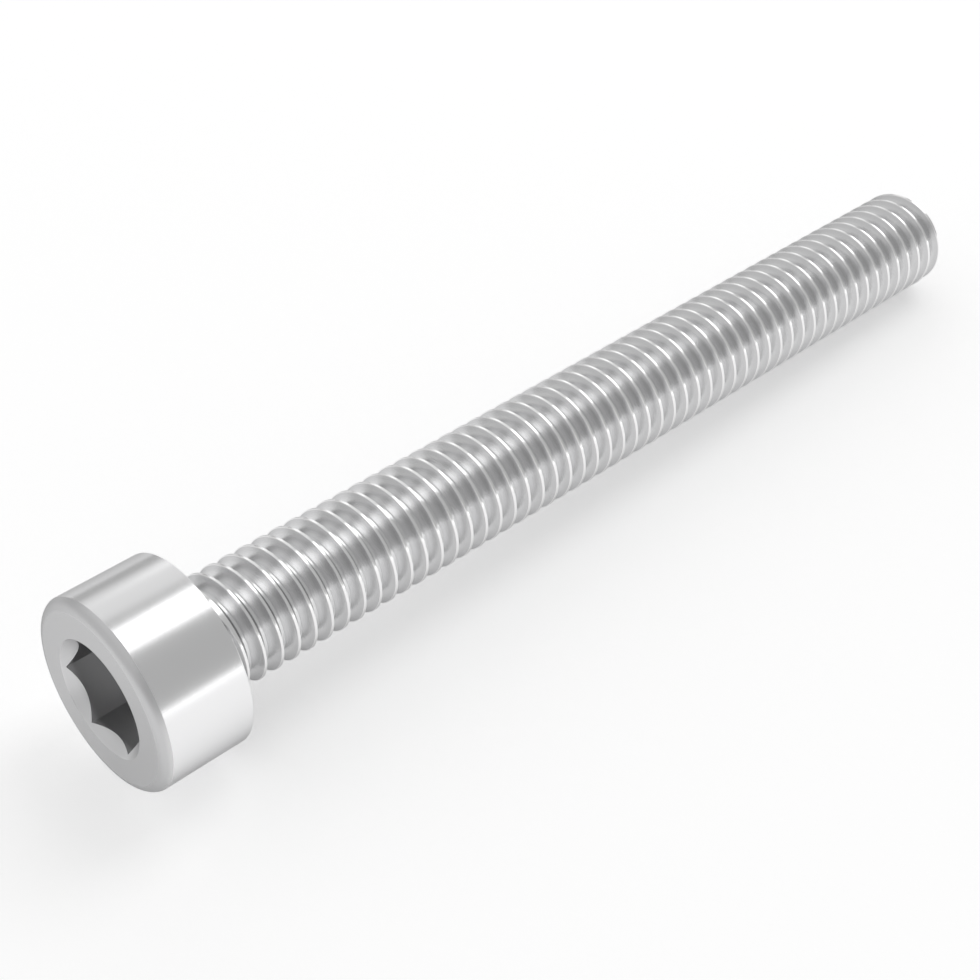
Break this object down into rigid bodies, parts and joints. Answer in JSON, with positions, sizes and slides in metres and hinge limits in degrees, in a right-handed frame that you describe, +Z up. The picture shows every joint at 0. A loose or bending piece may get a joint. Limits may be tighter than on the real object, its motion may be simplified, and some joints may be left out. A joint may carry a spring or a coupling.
{
  "type": "socket head cap screw",
  "caption": "Fully threaded machine screw with a cylindrical head, a hexagon socket and a right-hand metric thread up to the head.",
  "frame": {"origin": "on the ground below the screw, at the centre of its box", "axes": "+X from the head to the tip along the ground, +Z up; the screw's own axis leans 2.1 degrees down towards the tip, because the rim of the head and the thread at the tip both touch the ground"},
  "size_m": [0.06, 0.0098, 0.0101],
  "materials": {
    "steel": "bright smooth plain steel"
  },
  "bodies": {
    "root": {"screw": "steel"}
  },
  "joints": []
}
